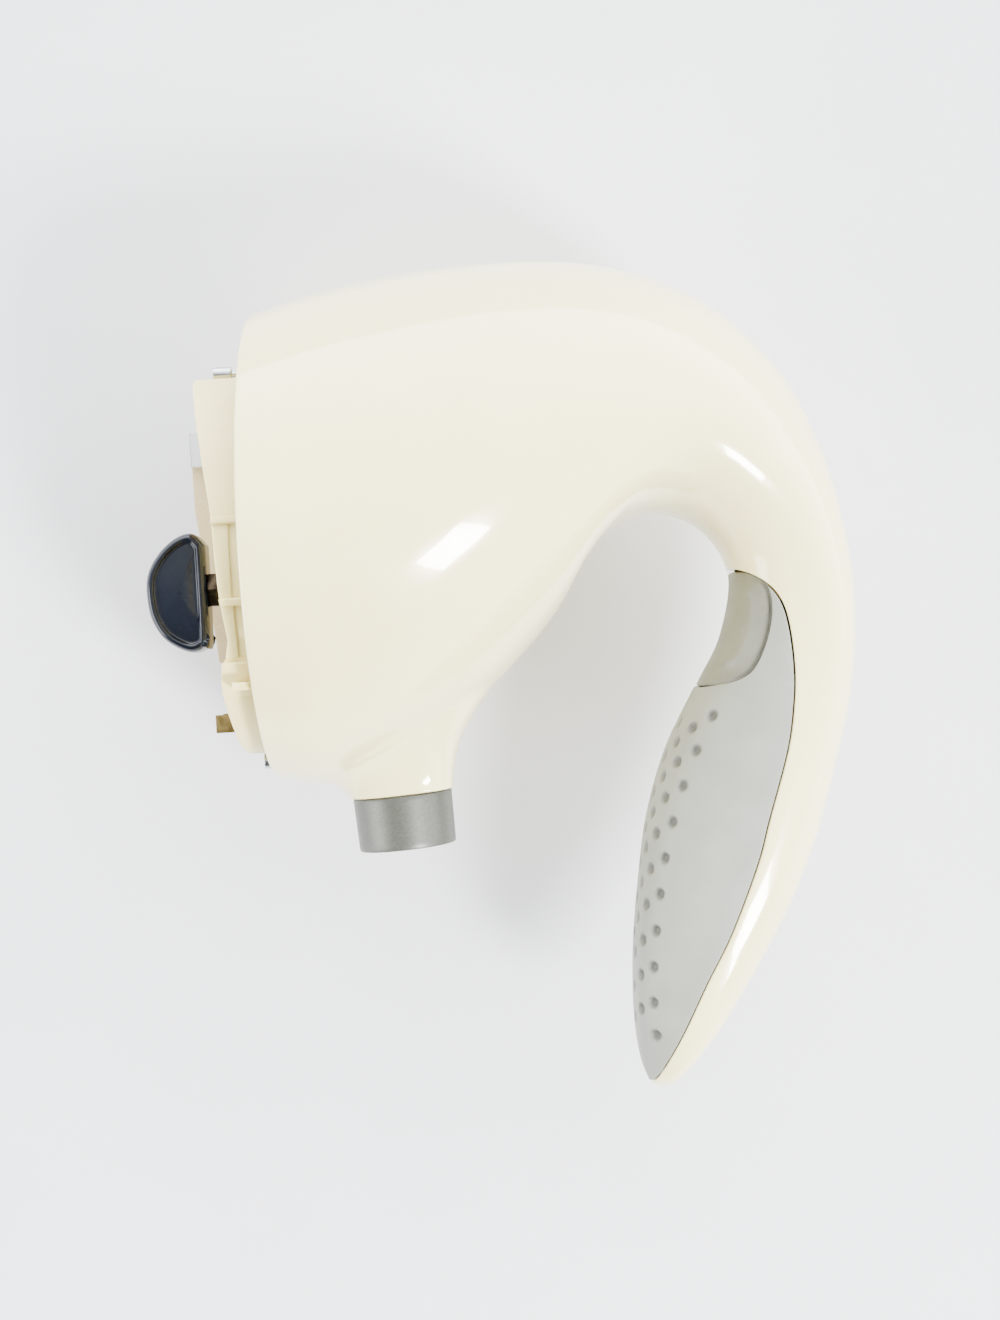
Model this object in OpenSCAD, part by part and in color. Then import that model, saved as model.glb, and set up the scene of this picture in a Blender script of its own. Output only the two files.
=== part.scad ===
// Hair dryer with a hook-shaped handle, a round air-intake mouth and a short outlet neck.
// It lies on its side: X runs from the mouth to the handle, Y runs from the outlet up to the
// crown, and Z is up, away from the table. Body coordinates put Z = 0 in the parting plane.

/* [Body] */
// Radius of the round air-intake mouth
mouth_r = 62; // [60:0.5:63]
// Wall thickness of the two body shells
wall = 2.4; // [1.8:0.1:3]
// Points on each cross-section of the body
section_points = 36; // [24:4:48]

/* [Grip and trigger] */
// Thickness of the soft grip pad
pad_t = 2.4; // [2:0.1:3]
// Width of the gap round the grip pad and the trigger
gap = 0.5; // [0.3:0.1:0.8]
// Depth of the trigger below the surface of the grip
trigger_inset = 0.9; // [0.8:0.1:1.2]

/* [Outlet] */
// Outer radius of the twist collar
collar_r = 13.3; // [13:0.1:14]
// Length of the twist collar
collar_l = 14.4; // [12:0.2:14.4]
// Outer radius of the heater barrel
barrel_r = 11.7; // [11.2:0.1:11.9]
// Length of the heater barrel
barrel_l = 38; // [34:1:38]
// Rake of the outlet axis
outlet_rake = 3.4; // [0:0.2:6]

/* [Fan and motor] */
// Radius of the fan impeller
fan_r = 38; // [30:1:39]
// Number of fan blades
fan_blades = 24; // [12:1:30]
// Radius of the motor can
motor_r = 17; // [15:0.5:17]
// Length of the motor can
motor_l = 28; // [24:1:28]
// Radius of the motor shaft
shaft_r = 1.5; // [1:0.25:2]

/* [Front controls] */
// Height of the selector knob
knob_h = 32; // [26:1:32]
// Thickness of the selector knob
knob_t = 13; // [10:1:14]
// Radius of the knob spindle
spindle_r = 3; // [2.5:0.25:3]

/* [Hidden] */

$fn = 48;
// Shift from body coordinates to the part's frame, which stands on the table.
frame_shift = [-1, 5.5, mouth_r];
// Reference points in body coordinates.
axis_y = 33.5;
mouth_x = -61;
outlet_end = [-27.4, -48.8, 0];
knob_y = 23;
pin_y = 80.9;
pivot = [70, 15, 0];

// Cross-sections of the body from the mouth to the tip of the handle:
// outer x, outer y, inner x, inner y, half width.
stations = [
    [mouth_x, axis_y + mouth_r, mouth_x, axis_y - mouth_r, mouth_r],
    [-43, 100.5, -45, -30.5, mouth_r + 0.3],
    [-20, 104.3, -24, -22.5, mouth_r - 1],
    [5, 106, -6, -10, 57.5],
    [28, 104.5, 8, 3, 52],
    [50, 98, 17, 13.5, 46],
    [68, 86, 23, 24, 40],
    [81.5, 69.5, 30.5, 33.5, 34],
    [90, 49, 42, 37.8, 28.5],
    [94.5, 26, 54.5, 34, 24],
    [95.3, 6, 62.8, 21.5, 21.5],
    [93, -14, 60, 4.5, 20],
    [88, -33, 52.5, -9.5, 19.5],
    [81.5, -53, 43.5, -26, 19],
    [73.5, -70.5, 37.3, -44, 18.5],
    [64, -86.5, 34, -62, 17.5],
    [54, -101.5, 31.7, -80, 15.5],
    [46, -111, 31, -97, 12.5],
    [40.5, -116, 32, -108.5, 8],
    [36.3, -117.3, 33.8, -114.5, 2.5]];
// Sections of the outlet neck, from the collar up into the body, in the same form.
neck_stations = [
    [-14.3, -33.4, -42.3, -35, 14],
    [-13.9, -29.5, -42.9, -33.6, 14.3],
    [-12.3, -22.5, -45, -31.6, 16.5],
    [-8, -14.5, -49.5, -29.4, 21],
    [0, -4, -56, -26, 27]];
// Side outline of the grip, from the top of the trigger round to the tip.
grip_edge = [[62.5, 20.5], [67, 18], [71.3, 14.4], [74, 9.5], [75.4, 2.5], [76, -6.5], [75.5, -15],
    [73.3, -27.5], [67.6, -45.5], [64, -57], [56.3, -75], [49.2, -88], [42.4, -101.5], [35, -114.5]];
// Side outline of the trigger, from its top round to the bottom.
trigger_edge = [[60, 24], [67, 20], [70.3, 14.5], [70.9, 9], [69.6, 2.5], [66.8, -3.8],
    [63.6, -7.2], [58, -9], [48, -10]];

// One coordinate of a smooth curve through four neighbouring points.
function smooth(a, b, c, d, t) =
    0.5 * (2 * b + (c - a) * t + (2 * a - 5 * b + 4 * c - d) * t * t
        + (3 * b - a - 3 * c + d) * t * t * t);
function pick(list, i) = list[max(0, min(len(list) - 1, i))];
// A smooth curve through a list of points, with the given number of steps between them.
function curve(list, steps) = concat(
    [for (i = [0:len(list) - 2]) for (k = [0:steps - 1])
        smooth(pick(list, i - 1), list[i], list[i + 1], pick(list, i + 2), k / steps)],
    [list[len(list) - 1]]);
function signed_power(v, p) = sign(v) * pow(abs(v), p);
// How square a side of a section of half width w is: round on the body, flatter on the handle.
function squareness(w, rate, most) = min(most, 2 + max(0, 30 - w) * rate);
// The points of one section, drawn in by the amount t.
function ring(s, t) =
    let (o = [s[0], s[1]], i = [s[2], s[3]], half = norm(o - i) / 2, u = (o - i) / norm(o - i),
        c = (o + i) / 2, n_in = squareness(s[4], 0.1, 2.8), n_out = squareness(s[4], 0.045, 2.4))
    [for (k = [0:section_points - 1])
        let (a = 360 * k / section_points, n = cos(a) < 0 ? n_in : n_out,
            r = max(half - t, 0.2) * signed_power(cos(a), 2 / n),
            h = max(s[4] - t, 0.2) * signed_power(sin(a), 2 / n))
        [c[0] + r * u[0], c[1] + r * u[1], h]];
// The convex solid that spans two neighbouring sections.
module span(a, b) {
    both = concat(a, b);
    hull() polyhedron(points = both, faces = [[for (k = [0:len(both) - 1]) k]]);
}
module loft(sections, t = 0, from = 0, to = 1000) {
    last = min(len(sections) - 2, to);
    for (k = [from:last]) span(ring(sections[k], t), ring(sections[k + 1], t));
}
body_sections = curve(stations, 2);
neck_sections = curve(neck_stations, 2);
inner_last = 2 * len(stations) - 6;

module place() { translate(frame_shift) children(); }
// Local Z along the blower axis, from the mouth towards the handle.
module on_axis(x, y = axis_y, z = 0) { translate([x, y, z]) rotate([0, 90, 0]) children(); }
// Local Z along the outlet axis, from the outlet end up into the body.
module on_outlet(s) {
    translate(outlet_end) rotate([0, 0, outlet_rake]) rotate([-90, 0, 0])
        translate([0, 0, s]) children();
}
module tube(r_out, r_in, l) {
    difference() {
        cylinder(r = r_out, h = l);
        translate([0, 0, -1]) cylinder(r = r_in, h = l + 2);
    }
}
module coil_spring(r, wire_r, l, turns, steps = 12, sides = 6) {
    count = turns * steps;
    points = [for (k = [0:count]) for (j = [0:sides - 1])
        let (a = 360 * k / steps, b = 360 * j / sides, q = r + wire_r * cos(b))
        [q * cos(a), q * sin(a), wire_r + (l - 2 * wire_r) * k / count + wire_r * sin(b)]];
    sides_faces = [for (k = [0:count - 1]) for (j = [0:sides - 1])
        let (n = (j + 1) % sides)
        [k * sides + j, (k + 1) * sides + j, (k + 1) * sides + n, k * sides + n]];
    start = [[for (j = [0:sides - 1]) j]];
    end = [[for (j = [sides - 1:-1:0]) count * sides + j]];
    polyhedron(points = points, faces = concat(sides_faces, start, end), convexity = 10);
}
module side_prism(outline, half) {
    translate([0, 0, -half]) linear_extrude(2 * half) polygon(outline);
}
// Everything on the inner side of the grip boundary.
module grip_zone(grow) {
    side_prism(concat(curve([for (p = grip_edge) [p[0] + grow, p[1] + grow * 0.4]], 3),
        [[20, -125], [10, -60], [30, 0], [45, 8], [58, 21 + grow * 0.4]]), 40);
}
module trigger_zone(grow) {
    side_prism(concat(curve([for (p = trigger_edge)
        [p[0] + grow, p[1] + grow * (p[1] - 6) / 12]], 3), [[48, 22]]), 40);
}
module body_solid(t) {
    loft(body_sections, t, 0, t > 0 ? inner_last : 1000);
    loft(neck_sections, t);
}
module post(p, r, z_from, z_to) {
    translate([p[0], p[1], z_from]) cylinder(r = r, h = z_to - z_from, $fn = 24);
}
// Turns a feature at the top of the mouth by the angle a round the blower axis.
module round_mouth(a) {
    translate([0, axis_y, 0]) rotate([a, 0, 0]) translate([0, -axis_y, 0]) children();
}
boss_points = [[-2, 96], [66, 64], [81, 28], [84, -24], [61, -78]];
frame_screw_angles = [180, 240, 300];
frame_screw_y = axis_y + 57.3;
head_depth = 11;
// Plate inside each shell that holds one end of the trigger pin.
pin_lug = [[67.4, 13], [69, 12], [71, 12], [72.6, 13], [73, 24], [70, 31], [60, 31], [66, 21]];
switch_posts = [[80, -5], [80, 9]];

// ---- body shells ----
module shell_half(side) {
    render() difference() {
        union() {
            difference() {
                body_solid(0);
                body_solid(wall);
                on_axis(mouth_x - 5) cylinder(r = mouth_r - wall, h = 8, $fn = 72);
                on_outlet(13) cylinder(r = barrel_r + 0.35, h = 16, $fn = 48);
                grip_zone(gap);
            }
            intersection() {
                union() {
                    for (p = boss_points) post(p, 4.2, -60, 60);
                    for (p = switch_posts) for (z = [-30, 3.3]) post(p, 2, z, z + 26.7);
                    for (z = [-10.8, 8.2]) translate([0, 0, z]) linear_extrude(2.6) polygon(pin_lug);
                }
                body_solid(0.5);
            }
            for (a = frame_screw_angles) round_mouth(a)
                on_axis(-59.8, frame_screw_y) cylinder(r = 3, h = 9, $fn = 24);
        }
        for (a = frame_screw_angles) round_mouth(a)
            on_axis(-61, frame_screw_y) cylinder(r = 1.2, h = 9, $fn = 24);
        for (p = boss_points) {
            post(p, 1.35, -head_depth - 1, 8);
            post(p, 3.1, -70, -head_depth);
        }
        post(pivot, 1.02, -12, 12);
        translate([-200, -200, side > 0 ? -100 : 0]) cube([400, 400, 100]);
    }
}
module shell_near() { color("cornsilk") place() shell_half(1); }
module shell_far() { color("wheat") place() shell_half(-1); }
module shell_screws() {
    color("silver") place() for (p = boss_points) translate([p[0], p[1], -head_depth - 2]) {
        difference() {
            cylinder(r = 2.8, h = 2);
            translate([-2, -0.4, -1]) cube([4, 0.8, 1.8]);
            translate([-0.4, -2, -1]) cube([0.8, 4, 1.8]);
        }
        cylinder(r = 1.3, h = 20);
    }
}

// ---- grip, trigger and its switch ----
module grip_pad() {
    color("darkgray") place() render() difference() {
        intersection() {
            loft(body_sections, 0, 18);
            grip_zone(0);
        }
        loft(body_sections, pad_t, 16, inner_last + 2);
        trigger_zone(gap);
        intersection() {
            loft(body_sections, 0.55, 16, 26);
            trigger_zone(5);
        }
    }
}
trigger_arm = [[60, 17], [66, 18], [72, 17.2], [72.8, 14], [71, 12.3], [60, 8]];
module trigger() {
    color("gray") place() render() difference() {
        intersection() {
            loft(body_sections, trigger_inset, 18, 27);
            grip_zone(-0.4);
            union() {
                difference() {
                    trigger_zone(0);
                    loft(body_sections, trigger_inset + 1.8, 17, 28);
                }
                side_prism(trigger_arm, 7.4);
                translate([52, -1, -3]) cube([12, 2, 6]);
                translate([52, -7, -2.5]) cube([10, 4, 5]);
            }
        }
        post(pivot, 1.06, -30, 30);
    }
}
module trigger_pin() {
    color("silver") place() translate([pivot[0], pivot[1], -11.5]) cylinder(r = 1, h = 23);
}
module trigger_spring() {
    color("silver") place() translate([62.1, -5, 0]) rotate([0, 90, 0])
        coil_spring(1.8, 0.3, 11.8, 6);
}
module micro_switch() {
    color("dimgray") place() difference() {
        translate([74, -8, -3.2]) cube([10, 20, 6.4]);
        translate([73, 0, 0]) rotate([0, 90, 0]) cylinder(r = 1.25, h = 5);
        for (p = switch_posts) translate([p[0], p[1], -4]) cylinder(r = 1.2, h = 8);
    }
}
module switch_plunger() {
    color("red") place() translate([64.3, 0, 0]) rotate([0, 90, 0]) cylinder(r = 1.2, h = 10.7);
}

// ---- outlet ----
module outlet_collar() {
    inner = barrel_r + 0.05;
    color("gray") place() on_outlet(0) rotate_extrude() polygon([
        [inner, 0], [collar_r - 0.9, 0], [collar_r - 0.3, 0.3], [collar_r, 0.9],
        [collar_r, collar_l - 0.6], [collar_r - 0.5, collar_l - 0.1], [inner, collar_l - 0.1],
        [inner, 8.6], [inner + 0.8, 8.6], [inner + 0.8, 6.4], [inner, 6.4]]);
}
module collar_clip() {
    color("silver") place() on_outlet(7) rotate_extrude(angle = 330)
        translate([barrel_r - 0.7, 0]) square([1.2, 1]);
}
module heater_barrel() {
    color("tan") place() on_outlet(0.8) difference() {
        tube(barrel_r, barrel_r - 1, barrel_l);
        translate([0, 0, 6.1]) tube(barrel_r + 1, barrel_r - 0.7, 1.2);
    }
}
module outlet_grille() {
    color("silver") place() on_outlet(2.2) union() {
        tube(barrel_r - 1, barrel_r - 2.2, 1.2);
        for (k = [-2:2]) translate([-barrel_r + 1.8, k * 3.6 - 0.4, 0]) intersection() {
            cube([2 * barrel_r - 3.6, 0.8, 1.2]);
            translate([barrel_r - 1.8, 0.4 - k * 3.6, -1]) cylinder(r = barrel_r - 1.6, h = 4);
        }
    }
}
module heater_cross() {
    color("khaki") place() on_outlet(6) for (a = [0, 90]) rotate([0, 0, a])
        translate([-8.2, -0.4, 0]) cube([16.4, 0.8, 30]);
}
module heater_coil() {
    color("dimgray") place() on_outlet(8) coil_spring(8.7, 0.45, 26, 8, 16, 6);
}
module thermal_cutout() {
    color("silver") place() on_outlet(36) translate([-4, -3, 0]) cube([8, 6, 3]);
}

// ---- fan and motor ----
fan_x = -43;
module fan_housing() {
    color("ivory") place() difference() {
        union() {
            on_axis(-47) cylinder(r = fan_r + 8, h = 28);
            on_outlet(29) cylinder(r = barrel_r + 1.9, h = 22);
            for (side = [-1, 1]) translate([-40, axis_y - 5, side > 0 ? 44 : -58.5]) cube([4, 10, 14.5]);
        }
        on_axis(-45) cylinder(r = fan_r + 6, h = 24);
        on_axis(-48) cylinder(r = 28, h = 4);
        on_axis(-22) cylinder(r = 8, h = 4);
        on_outlet(28) cylinder(r = barrel_r, h = 22);
    }
}
module fan_impeller() {
    color("white") place() union() {
        difference() {
            union() {
                on_axis(-24.5) cylinder(r = fan_r, h = 1.5);
                on_axis(-34) cylinder(r = 6, h = 11);
            }
            on_axis(-35) cylinder(r = shaft_r, h = 14);
        }
        on_axis(fan_x) tube(fan_r, fan_r - 6, 1.2);
        for (k = [0:fan_blades - 1]) on_axis(fan_x + 1) rotate([0, 0, 360 * k / fan_blades])
            translate([fan_r - 6, 0, 0]) rotate([0, 0, 30]) translate([0, -0.5, 0])
                cube([5.8, 1, 17.8]);
    }
}
module fan_nut() {
    color("gold") place() difference() {
        on_axis(-37) cylinder(r = 3.6, h = 3, $fn = 6);
        on_axis(-38) cylinder(r = shaft_r, h = 5);
    }
}
module motor_mount() {
    color("dimgray") place() difference() {
        on_axis(-19) union() {
            cylinder(r = motor_r + 5, h = 2);
            tube(motor_r + 2.6, motor_r + 1.6, 14);
        }
        on_axis(-20) cylinder(r = 6.5, h = 5);
    }
}
module damper_ring() {
    color("black") place() on_axis(-15.8) tube(motor_r + 1.6, motor_r, 8);
}
module motor_can() {
    color("silver") place() on_axis(-16.5) difference() {
        cylinder(r = motor_r, h = motor_l);
        translate([0, 0, 1]) cylinder(r = motor_r - 1, h = motor_l);
        translate([0, 0, -1]) cylinder(r = 3.5, h = 4);
    }
}
module motor_end_cap() {
    color("black") place() on_axis(motor_l - 16.5) difference() {
        union() {
            translate([0, 0, -2]) cylinder(r = motor_r - 1, h = 2);
            cylinder(r = motor_r, h = 2);
        }
        translate([0, 0, -3]) cylinder(r = 3.5, h = 6);
    }
}
module motor_magnets() {
    color("dimgray") place() on_axis(-10) for (a = [20, 200]) rotate([0, 0, a])
        rotate_extrude(angle = 140) translate([motor_r - 3.65, 0]) square([2.6, 13]);
}
module motor_shaft() {
    color("silver") place() on_axis(-38.5) cylinder(r = shaft_r, h = 52.5);
}
module motor_bushes() {
    color("goldenrod") place() for (x = [-16.5, motor_l - 18.5])
        on_axis(x) tube(3.5, shaft_r + 0.03, x < 0 ? 3 : 4);
}
module armature() {
    color("brown") place() on_axis(-9) difference() {
        union() {
            for (k = [0:4]) rotate([0, 0, 72 * k]) {
                translate([2, -2, 0]) cube([8, 4, 11]);
                translate([9, -4.5, 0]) cube([3, 9, 11]);
            }
            cylinder(r = 5, h = 11);
        }
        translate([0, 0, -1]) cylinder(r = shaft_r, h = 14);
    }
}
module commutator() {
    color("orange") place() on_axis(3) tube(4, shaft_r, 5);
}
module brush_holders() {
    color("goldenrod") place() for (side = [-1, 1])
        translate([3.6, axis_y - 2, side > 0 ? 4.1 : -13.6]) cube([5.9, 4, 9.5]);
}
module rectifier_board() {
    color("seagreen") place() union() {
        on_axis(13.6) difference() {
            cylinder(r = 14, h = 1.6);
            translate([0, 0, -1]) cylinder(r = 4, h = 4);
        }
        for (k = [0:3]) on_axis(15.2, axis_y + (k < 2 ? 7 : -7), k % 2 == 0 ? 5 : -5)
            cylinder(r = 1.6, h = 4);
    }
}

// ---- front frame and its controls ----
frame_r = 50;
frame_y = 28.5;
frame_side = [[-60, 80], [-76.8, 78.6], [-74.2, 69.7], [-71.7, 58], [-68.6, 40], [-67.6, 19],
    [-66.2, 6], [-69, 2], [-69.6, -6], [-68.6, -16], [-67.6, -23], [-60, -23]];
module intake_guard() {
    color("silver") place() difference() {
        on_axis(-48.2) cylinder(r = 42.5, h = 1.2);
        for (r = [13:7:34]) on_axis(-49) for (k = [0:2])
            rotate([0, 0, 120 * k + 10]) rotate_extrude(angle = 100) translate([r, 0]) square([5, 4]);
    }
}
module front_frame() {
    color("cornsilk") place() difference() {
        union() {
            intersection() {
                on_axis(-78, frame_y) tube(frame_r, frame_r - 2.2, 18);
                side_prism(frame_side, 55);
            }
            difference() {
                on_axis(-62.4, frame_y) cylinder(r = frame_r - 1, h = 2.4);
                for (k = [0:5]) on_axis(-63, frame_y) rotate([0, 0, 60 * k + 42])
                    rotate_extrude(angle = 36) translate([20, 0]) square([24, 5]);
            }
            on_axis(-73.8, knob_y) cylinder(r = 7, h = 12);
            for (y = [40, 18, -3]) translate([-66, y - 1, 22]) cube([6, 2, 25]);
            translate([-64, 76.5, -4.5]) cube([16, 9, 9]);
            round_mouth(180) translate([-63, axis_y + 53, -4]) cube([3, 6, 8]);
            for (a = [240, 300]) round_mouth(a) translate([-63, axis_y + 45, -4]) cube([3, 14, 8]);
        }
        on_axis(-75, knob_y) cylinder(r = 3.6, h = 20);
        translate([-61.5, 77.6, -6]) cube([11, 6.4, 12]);
        on_axis(-65, pin_y) cylinder(r = 0.85, h = 20);
        for (a = frame_screw_angles) round_mouth(a) on_axis(-64, frame_screw_y) cylinder(r = 1.2, h = 6);
        translate([-63, 5, -21.6]) cube([6, 50, 1.6]);
        for (side = [-1, 1]) translate([-63, -15.4, side * 7 - 0.4]) cube([4, 4.8, 0.8]);
    }
}
module selector_knob() {
    color("midnightblue") place() difference() {
        hull() {
            for (z = [-knob_t / 2, knob_t / 2 - 1]) knob_slab(2, z, 1);
            knob_slab(0, -knob_t / 2 + 2.5, knob_t - 5);
        }
        on_axis(-86, knob_y) cylinder(r = spindle_r, h = 12);
    }
}
knob_outline = [[-77.4, 35], [-79.5, 37.6], [-82, 38.4], [-86, 36.8], [-90, 33.2], [-92.8, 28.5],
    [-93.6, 23.5], [-92.8, 16.5], [-90, 11], [-86, 7.8], [-82, 6.4], [-79, 7.4], [-77.4, 10]];
module knob_slab(inset, z, h) {
    k = (knob_h - 2 * inset) / 32;
    translate([-85 * (1 - k), 22.4 * (1 - k), z]) scale([k, k, 1]) linear_extrude(h)
        polygon(curve(knob_outline, 2));
}
module knob_spindle() {
    color("silver") place() on_axis(-85.5, knob_y) cylinder(r = spindle_r, h = 30);
}
module spindle_nut() {
    color("peru") place() on_axis(-77.1, knob_y) difference() {
        cylinder(r = 5, h = 3.2, $fn = 6);
        translate([0, 0, -1]) cylinder(r = 3.55, h = 6);
    }
}
module rotary_switch() {
    color("sienna") place() difference() {
        union() {
            translate([-60, knob_y - 12, -12]) cube([7, 24, 24]);
            on_axis(-77.2, knob_y) cylinder(r = 3.5, h = 18);
        }
        on_axis(-78, knob_y) cylinder(r = spindle_r + 0.03, h = 23.4);
    }
}
module interlock_pin() {
    color("gainsboro") place() union() {
        on_axis(-73.1, pin_y) cylinder(r = 2.1, h = 5);
        on_axis(-69, pin_y) cylinder(r = 0.8, h = 18.7);
        on_axis(-61.2, pin_y) cylinder(r = 2, h = 1);
    }
}
module interlock_spring() {
    color("silver") place() on_axis(-60, pin_y) coil_spring(1.6, 0.25, 9.3, 6);
}
module terminal_board() {
    color("tan") place() translate([0, 0, -21.6]) linear_extrude(1.6)
        polygon([[-58, 7], [-58, 53], [-62.4, 53], [-62.4, 58.5], [-83.4, 58.5], [-83.2, 46],
            [-82.4, 40], [-80.2, 18], [-78.6, 3.4], [-64, 3.4], [-64, 7]]);
}
module terminal_blades() {
    color("goldenrod") place() for (side = [-1, 1])
        translate([-76.4, -15.4, side * 7 - 0.4]) cube([18, 4.8, 0.8]);
}
module pilot_lens() {
    color("azure") place() difference() {
        translate([-83.5, 58.5, -25]) cube([9, 9.5, 8]);
        on_axis(-80, 63.8, -21) cylinder(r = 2.6, h = 7);
    }
}
module pilot_lamp() {
    color("orange") place() on_axis(-79, 63.8, -21) cylinder(r = 2.2, h = 9);
}
module frame_screws() {
    color("silver") place() for (a = frame_screw_angles) round_mouth(a) {
        on_axis(-64.8, frame_screw_y) cylinder(r = 2.1, h = 1.8);
        on_axis(-64, frame_screw_y) cylinder(r = 1.15, h = 11);
    }
}

shell_near();
shell_far();
grip_pad();
trigger();
trigger_pin();
trigger_spring();
micro_switch();
switch_plunger();
outlet_collar();
collar_clip();
heater_barrel();
outlet_grille();
heater_cross();
heater_coil();
thermal_cutout();
fan_housing();
fan_impeller();
fan_nut();
motor_mount();
damper_ring();
motor_can();
motor_end_cap();
motor_magnets();
motor_shaft();
motor_bushes();
armature();
commutator();
brush_holders();
rectifier_board();
intake_guard();
front_frame();
selector_knob();
knob_spindle();
spindle_nut();
rotary_switch();
interlock_pin();
interlock_spring();
terminal_board();
terminal_blades();
pilot_lens();
pilot_lamp();
frame_screws();
shell_screws();
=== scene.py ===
"""Looks of a hair dryer with a hook-shaped handle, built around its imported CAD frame.

Shapes are drawn in body millimetres: X from the mouth to the handle, Y from the outlet up to
the crown, Z = 0 in the parting plane. `to_frame` turns them into the frame's metres.
"""

import logging
import math
from dataclasses import dataclass, field
from enum import Enum
from typing import Callable, Iterable, Optional, Sequence

import bmesh
import bpy
import numpy as np
from mathutils import Matrix, Vector

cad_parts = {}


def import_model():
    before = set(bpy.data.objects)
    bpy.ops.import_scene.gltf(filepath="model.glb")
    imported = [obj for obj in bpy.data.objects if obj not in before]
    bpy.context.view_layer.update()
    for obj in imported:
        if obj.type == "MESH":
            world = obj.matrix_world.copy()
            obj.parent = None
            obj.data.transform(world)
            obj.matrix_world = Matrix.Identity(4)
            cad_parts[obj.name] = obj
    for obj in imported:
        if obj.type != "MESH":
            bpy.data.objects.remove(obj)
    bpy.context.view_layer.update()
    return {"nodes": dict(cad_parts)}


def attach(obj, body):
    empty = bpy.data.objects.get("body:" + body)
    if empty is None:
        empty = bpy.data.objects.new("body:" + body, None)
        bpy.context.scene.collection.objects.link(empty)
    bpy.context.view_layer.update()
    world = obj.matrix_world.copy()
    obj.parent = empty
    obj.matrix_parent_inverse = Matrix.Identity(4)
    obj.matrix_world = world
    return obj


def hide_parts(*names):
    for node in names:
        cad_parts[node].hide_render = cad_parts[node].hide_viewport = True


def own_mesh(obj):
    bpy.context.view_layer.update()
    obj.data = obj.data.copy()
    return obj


LOG = logging.getLogger("hair_dryer")
MM = 0.001
BODY_SHIFT = Vector((-1.0, 5.5, 62.0))
AXIS_Y = 33.5
MOUTH_X = -61.0
GAP = 0.5
# A corner closer to a cut than this share of its edge moves onto the cut.
SNAP = 0.12
Field = Callable[[np.ndarray], np.ndarray]

# Cross-sections of the body from the mouth to the tip of the handle:
# outer x, outer y, inner x, inner y, half width.
BODY_STATIONS = (
    (-61, 95.5, -61, -28.5, 62), (-43, 100.5, -45, -30.5, 62.3), (-20, 104.3, -24, -22.5, 61),
    (5, 106, -6, -10, 57.5), (28, 104.5, 8, 3, 52), (50, 98, 17, 13.5, 46),
    (68, 86, 23, 24, 40), (81.5, 69.5, 30.5, 33.5, 34), (90, 49, 42, 37.8, 28.5),
    (94.5, 26, 54.5, 34, 24), (95.3, 6, 62.8, 21.5, 21.5), (93, -14, 60, 4.5, 20),
    (88, -33, 52.5, -9.5, 19.5), (81.5, -53, 43.5, -26, 19), (73.5, -70.5, 37.3, -44, 18.5),
    (64, -86.5, 34, -62, 17.5), (54, -101.5, 31.7, -80, 15.5), (46, -111, 31, -97, 12.5),
    (40.5, -116, 32, -108.5, 8), (36.3, -117.3, 33.8, -114.5, 2.5),
)
# Sections of the outlet neck, from the collar up into the body, in the same form.
NECK_STATIONS = (
    (-14.3, -33.4, -42.3, -35, 14), (-13.9, -29.5, -42.9, -33.6, 14.3),
    (-12.3, -22.5, -45, -31.6, 16.5), (-8, -14.5, -49.5, -29.4, 21), (0, -4, -56, -26, 27),
)
# The section under the collar, where the neck ends.
NECK_END = (-13.95, -40.4, -41.95, -42, 14)
# Sections narrower than this half width turn squarer: how fast, and the squarest exponent.
ROUND_WIDTH = 30.0
OUTER_SQUARE = (0.11, 3.1)
INNER_SQUARE = (0.1, 2.8)
GRIP_EDGE = (
    (62.5, 20.5), (67, 18), (71.3, 14.4), (74, 9.5), (75.4, 2.5), (76, -6.5), (75.5, -15),
    (73.3, -27.5), (67.6, -45.5), (64, -57), (56.3, -75), (49.2, -88), (42.4, -101.5), (35, -114.5),
)
GRIP_BACK = ((20, -125), (10, -60), (30, 0), (45, 8), (58, 21))
TRIGGER_EDGE = (
    (60, 24), (67, 20), (70.3, 14.5), (70.9, 9), (69.6, 2.5), (66.8, -3.8), (63.6, -7.2), (58, -9),
    (48, -10),
)
KNOB_OUTLINE = (
    (-77.4, 35), (-79.5, 37.6), (-82, 38.4), (-86, 36.8), (-90, 33.2), (-92.8, 28.5), (-93.6, 23.5),
    (-92.8, 16.5), (-90, 11), (-86, 7.8), (-82, 6.4), (-79, 7.4), (-77.4, 10),
)
SCREW_POINTS = ((-2, 96), (66, 64), (81, 28), (84, -24), (61, -78))
OUTLET = (
    Matrix.Translation((-27.4, -48.8, 0))
    @ Matrix.Rotation(math.radians(3.4), 4, "Z")
    @ Matrix.Rotation(math.radians(-90), 4, "X")
)


# ---- curves and fields -------------------------------------------------------------------
def smooth(points: Sequence[Sequence[float]], t: float) -> list[float]:
    """A point of the smooth curve through a list of points.

    Args:
        points: The points the curve passes, of any one dimension.
        t: Place on the curve, in whole points from the first.

    Returns:
        The point at t.
    """
    last = len(points) - 1
    i = min(int(t), last - 1)
    f = t - i
    rows = [points[max(0, min(last, i + k))] for k in (-1, 0, 1, 2)]
    return [
        0.5 * (
            2 * b + (c - a) * f + (2 * a - 5 * b + 4 * c - d) * f * f
            + (3 * b - a - 3 * c + d) * f**3
        )
        for a, b, c, d in zip(*rows)
    ]


def curve(points: Sequence[Sequence[float]], steps: int) -> list[list[float]]:
    """The smooth curve through a list of points.

    Args:
        points: The points the curve passes.
        steps: Steps between two neighbouring points.

    Returns:
        The points of the curve.
    """
    return [smooth(points, k / steps) for k in range((len(points) - 1) * steps + 1)]


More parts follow.
